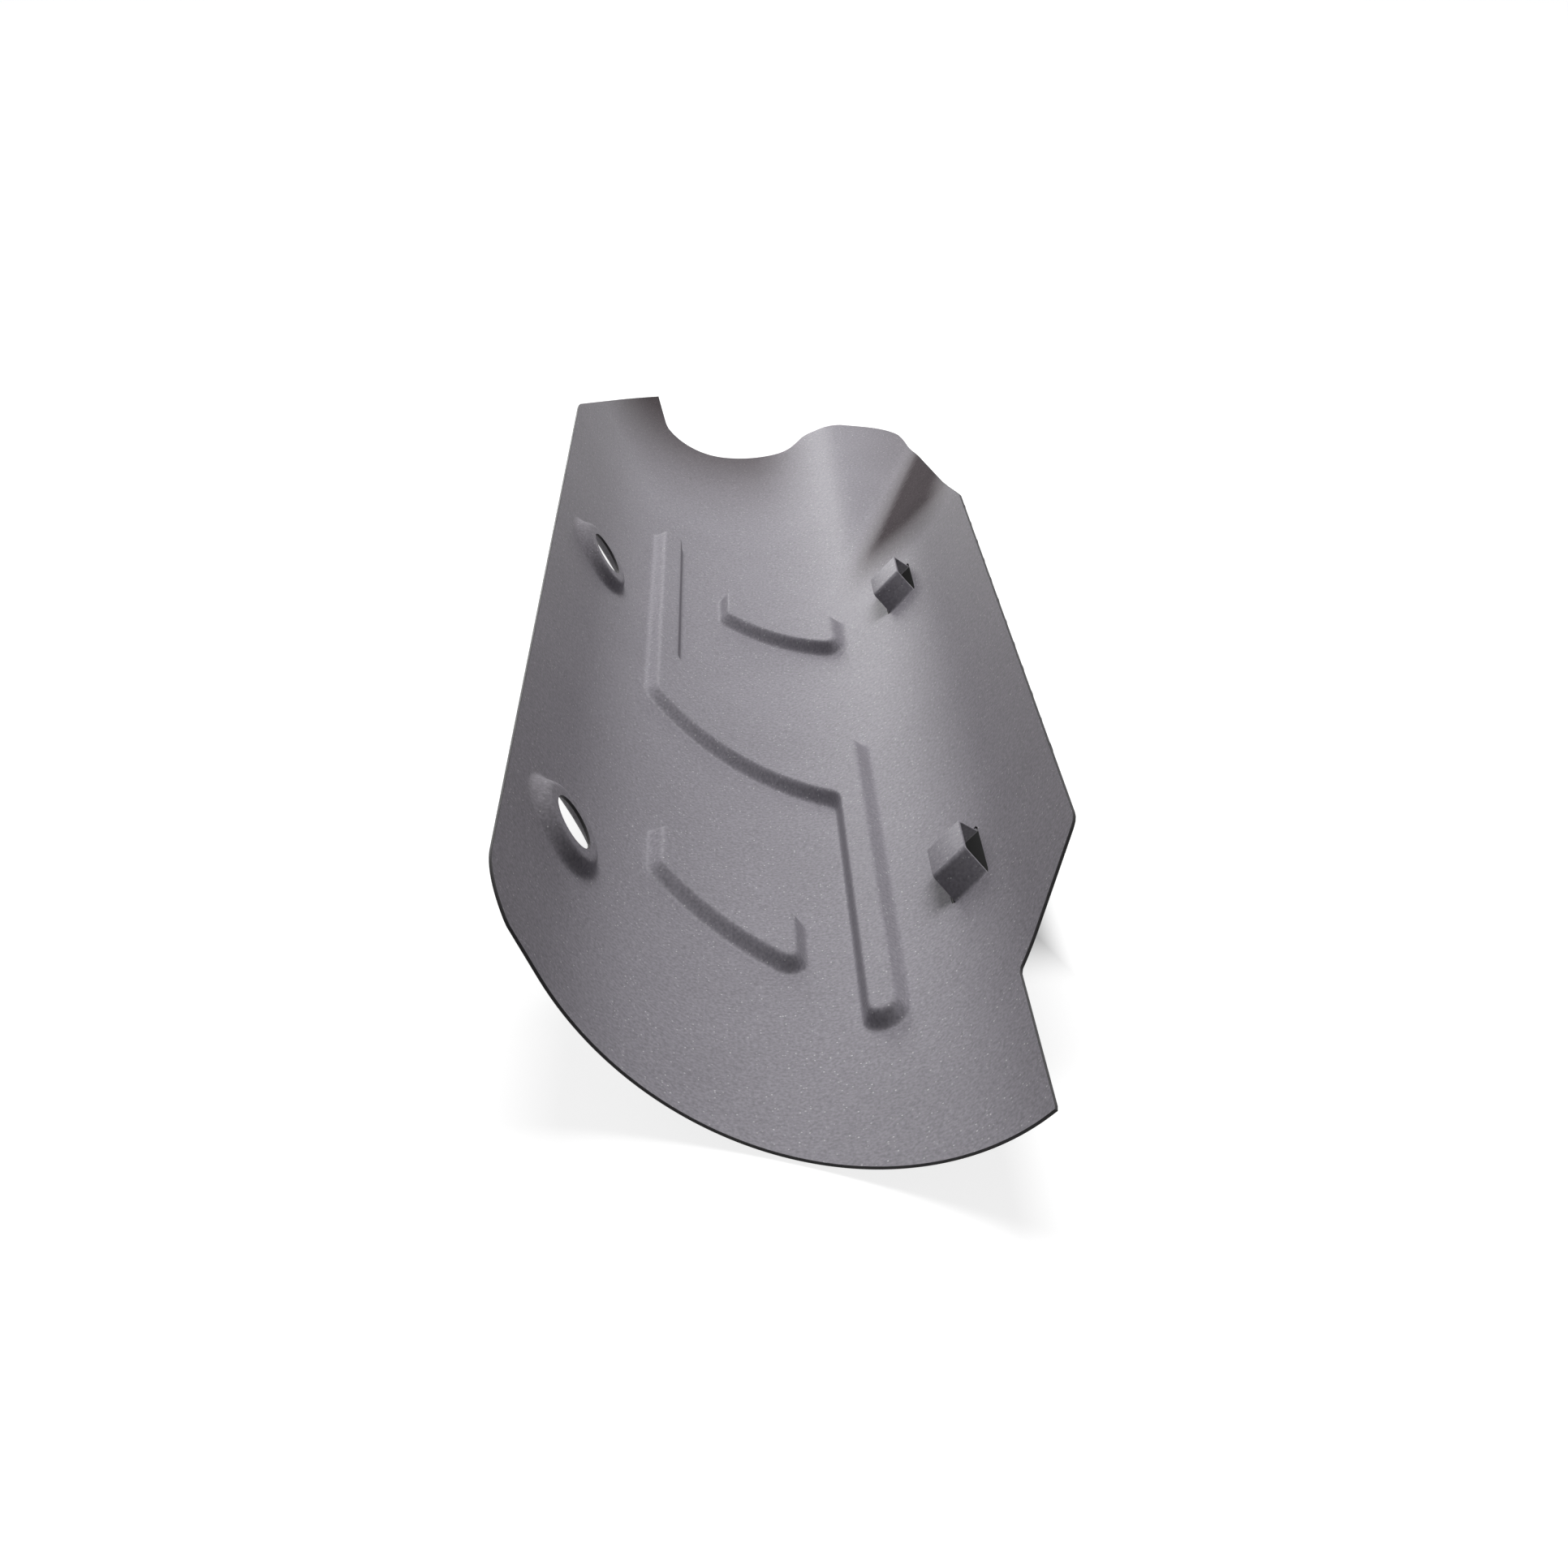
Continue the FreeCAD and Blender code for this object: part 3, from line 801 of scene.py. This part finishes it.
# Painted shade also takes the gloss away where the coating is painted darker
coat_gloss = level(coat, painted_shade_share, coating_gloss, 0.0)
coat.links.new(coat_gloss, surface.inputs["Specular IOR Level"])
relief = coat.nodes.new("ShaderNodeBump")
relief.inputs["Strength"].default_value = 0.25
relief.inputs["Distance"].default_value = 0.00004
coat.links.new(grain, relief.inputs["Height"])
coat.links.new(relief.outputs["Normal"], surface.inputs["Normal"])

cover_mesh.materials.append(coating)
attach(cover, "root")
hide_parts("pipe_cover")

# Straps: two bridges lanced from the sheet and bent up over their windows, for a band or tie.
# One bent strip is worked out along its middle line, then repeated at the two stations.
strap_lap = 0.6
strap_sink = 0.03            # keeps the ends just under the sheet's faces
strap_sharp_angle = math.radians(50)
strap_line = [(-window_half_length - strap_lap, 0.0), (-strap_base_length / 2, 0.0),
              (-strap_top_length / 2, strap_height), (strap_top_length / 2, strap_height),
              (strap_base_length / 2, 0.0), (window_half_length + strap_lap, 0.0)]
line_mesh = bpy.data.meshes.new("strap_line")
line_points = [(0.0, y / 1000, (z - sheet / 2 - strap_sink) / 1000) for y, z in strap_line]
line_mesh.from_pydata(line_points, [(k, k + 1) for k in range(len(line_points) - 1)], [])
strap_maker = bpy.data.objects.new("strap_maker", line_mesh)
bpy.context.scene.collection.objects.link(strap_maker)

tree = bpy.data.node_groups.new("bent_straps", "GeometryNodeTree")
tree.interface.new_socket("Geometry", in_out="INPUT", socket_type="NodeSocketGeometry")
tree.interface.new_socket("Geometry", in_out="OUTPUT", socket_type="NodeSocketGeometry")
socket_ids = {}
for name, kind in (("Width", "NodeSocketFloat"), ("Thickness", "NodeSocketFloat"),
                   ("Bend Radius", "NodeSocketFloat"), ("Edge Radius", "NodeSocketFloat"),
                   ("First Foot", "NodeSocketVector"), ("Spacing", "NodeSocketVector"),
                   ("Turn", "NodeSocketVector"), ("Finish", "NodeSocketMaterial")):
    socket = tree.interface.new_socket(name, in_out="INPUT", socket_type=kind)
    socket_ids[name] = socket.identifier
make = tree.nodes.new
start = make("NodeGroupInput")
end = make("NodeGroupOutput")
path = make("GeometryNodeMeshToCurve")
bent = make("GeometryNodeFilletCurve")
bent.mode = "POLY"
bent.inputs["Count"].default_value = 6
upright = make("GeometryNodeSetCurveNormal")
upright.mode = "Z_UP"
section = make("GeometryNodeCurvePrimitiveQuadrilateral")
section_round = make("GeometryNodeFilletCurve")
section_round.mode = "POLY"
section_round.inputs["Count"].default_value = 2
sweep = make("GeometryNodeCurveToMesh")
sweep.inputs["Fill Caps"].default_value = True
feet = make("GeometryNodeMeshLine")
feet.inputs["Count"].default_value = 2
copies = make("GeometryNodeInstanceOnPoints")
real = make("GeometryNodeRealizeInstances")
painted = make("GeometryNodeSetMaterial")
wire = tree.links.new
wire(start.outputs["Geometry"], path.inputs["Mesh"])
wire(path.outputs["Curve"], bent.inputs["Curve"])
wire(start.outputs["Bend Radius"], bent.inputs["Radius"])
wire(bent.outputs["Curve"], upright.inputs["Curve"])
wire(start.outputs["Width"], section.inputs["Width"])
wire(start.outputs["Thickness"], section.inputs["Height"])
wire(section.outputs["Curve"], section_round.inputs["Curve"])
wire(start.outputs["Edge Radius"], section_round.inputs["Radius"])
wire(upright.outputs["Curve"], sweep.inputs["Curve"])
wire(section_round.outputs["Curve"], sweep.inputs["Profile Curve"])
wire(start.outputs["First Foot"], feet.inputs["Start Location"])
wire(start.outputs["Spacing"], feet.inputs["Offset"])
wire(feet.outputs["Mesh"], copies.inputs["Points"])
wire(sweep.outputs["Mesh"], copies.inputs["Instance"])
wire(start.outputs["Turn"], copies.inputs["Rotation"])
wire(copies.outputs["Instances"], real.inputs["Geometry"])
wire(real.outputs["Geometry"], painted.inputs["Geometry"])
wire(start.outputs["Finish"], painted.inputs["Material"])
wire(painted.outputs["Geometry"], end.inputs["Geometry"])

first_foot = to_frame((back_radius * math.sin(strap_angle), station_near_y,
                       axis_height - back_radius * math.cos(strap_angle)))
bending = strap_maker.modifiers.new("bent_straps", "NODES")
bending.node_group = tree
bending[socket_ids["Width"]] = strap_width / 1000
bending[socket_ids["Thickness"]] = sheet / 1000
bending[socket_ids["Bend Radius"]] = (strap_bend_radius + sheet / 2) / 1000
bending[socket_ids["Edge Radius"]] = edge_break / 1000
bending[socket_ids["First Foot"]] = first_foot
bending[socket_ids["Spacing"]] = (0.0, (station_far_y - station_near_y) / 1000, 0.0)
bending[socket_ids["Turn"]] = (0.0, -strap_angle, 0.0)
bending[socket_ids["Finish"]] = coating
depsgraph = bpy.context.evaluated_depsgraph_get()
strap_mesh = bpy.data.meshes.new_from_object(strap_maker.evaluated_get(depsgraph))
strap_maker.modifiers.remove(bending)
bpy.data.objects.remove(strap_maker)
strap_mesh.shade_smooth()
strap_mesh.set_sharp_from_angle(angle=strap_sharp_angle)
straps = bpy.data.objects.new("lanced_straps", strap_mesh)
bpy.context.scene.collection.objects.link(straps)
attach(straps, "root")

# Floor: a pale sheet of studio paper that keeps the cover's soft shadow. A painted shadow is laid
# on it: its colour and glow fade to near black in a soft strip under the right half of the cover,
# so that the strap windows look dark.
floor_half = 4.0
floor_z = -0.0005
paper_glow = 0.82
paper_shade = 0.35
# Painted shadow: the paper's colour inside the strip
painted_shadow_level = 0.04
strip_left_x = (0.005, -0.03)
strip_right_x = (0.041, 0.052)
strip_near_y = (-0.112, -0.145)
strip_far_y = (0.08, 0.13)
floor_mesh = bpy.data.meshes.new("paper_floor")
floor_mesh.from_pydata([(-floor_half, -floor_half, floor_z), (floor_half, -floor_half, floor_z),
                        (floor_half, floor_half, floor_z), (-floor_half, floor_half, floor_z)],
                       [], [(0, 1, 2, 3)])
paper_floor = bpy.data.objects.new("paper_floor", floor_mesh)
bpy.context.scene.collection.objects.link(paper_floor)
studio_paper = bpy.data.materials.new("studio_paper")
studio_paper.use_nodes = True
paper = studio_paper.node_tree
paper_surface = paper.nodes["Principled BSDF"]
paper_surface.inputs["Roughness"].default_value = 0.9
paper_surface.inputs["Emission Color"].default_value = (1.0, 1.0, 1.0, 1.0)
paper_place = paper.nodes.new("ShaderNodeTexCoord")
paper_axes = paper.nodes.new("ShaderNodeSeparateXYZ")
paper.links.new(paper_place.outputs["Object"], paper_axes.inputs["Vector"])


def seen_or_mirrored(tree):
    """One for rays from the camera, a mirror or a glass, nought for rays of soft light."""
    ray = tree.nodes.new("ShaderNodeLightPath")
    mirrored = combined(tree, "MAXIMUM", ray.outputs["Is Glossy Ray"],
                        ray.outputs["Is Transmission Ray"])
    return combined(tree, "MAXIMUM", ray.outputs["Is Camera Ray"], mirrored)


def past_painted_shadow(axis, span):
    """Smooth rise of the paper's brightness, from the painted shadow strip's first line to its
    second.
    """
    node = paper.nodes.new("ShaderNodeMapRange")
    node.interpolation_type = "SMOOTHSTEP"
    node.inputs["From Min"].default_value = span[0]
    node.inputs["From Max"].default_value = span[1]
    paper.links.new(paper_axes.outputs[axis], node.inputs["Value"])
    return node.outputs["Result"]


bright_paper = past_painted_shadow("X", strip_left_x)
for axis, span in (("X", strip_right_x), ("Y", strip_near_y), ("Y", strip_far_y)):
    bright_paper = combined(paper, "MAXIMUM", bright_paper, past_painted_shadow(axis, span))
# Painted shadow: the paper's colour and glow drop to near black in the strip
paper_level = level(paper, bright_paper, painted_shadow_level, paper_shade)
paper.links.new(paper_level, paper_surface.inputs["Base Color"])
glow = combined(paper, "MULTIPLY", level(paper, seen_or_mirrored(paper), 0.0, paper_glow),
                bright_paper)
paper.links.new(glow, paper_surface.inputs["Emission Strength"])
floor_mesh.materials.append(studio_paper)

# Light: a white surround that gives only a little light, one broad softbox high over the far
# end, and a small weak one low at the far left for the sheen on the right half.
surround_light = 0.07
studio = bpy.data.worlds.new("studio")
studio.use_nodes = True
bpy.context.scene.world = studio
surround = studio.node_tree.nodes["Background"]
surround.inputs["Color"].default_value = (1.0, 1.0, 1.0, 1.0)
surround_level = level(studio.node_tree, seen_or_mirrored(studio.node_tree), surround_light, 1.0)
studio.node_tree.links.new(surround_level, surround.inputs["Strength"])


def softbox(name, place, size, power):
    """A square lamp that faces the middle of the cover."""
    lamp = bpy.data.lights.new(name, "AREA")
    lamp.shape = "SQUARE"
    lamp.size = size
    lamp.energy = power
    holder = bpy.data.objects.new(name, lamp)
    holder.location = place
    holder.rotation_euler = (-Vector(place)).to_track_quat("-Z", "Y").to_euler()
    bpy.context.scene.collection.objects.link(holder)


softbox("overhead_softbox", place=(0.0, 0.55, 1.5), size=0.9, power=25.0)
softbox("far_softbox", place=(-0.34, 0.9, 0.26), size=0.4, power=3.0)

# Camera: close in front of the slanted near end, looking down along the trough, as the
# photograph was taken. Its place is in the trough's own frame, in millimetres.
camera_place = (-11.475, -272.25, axis_height + 146.25)
camera_tilt = math.radians(25.33)
camera_pan = math.radians(1.975)
camera = bpy.data.cameras.new("camera")
camera.sensor_width = 36.0
camera.lens = 48.82
camera_holder = bpy.data.objects.new("camera", camera)
camera_holder.location = to_frame(camera_place)
camera_holder.rotation_euler = (math.pi / 2 - camera_tilt, 0.0, -camera_pan)
bpy.context.scene.collection.objects.link(camera_holder)
bpy.context.scene.camera = camera_holder
bpy.context.scene.view_settings.view_transform = "Standard"
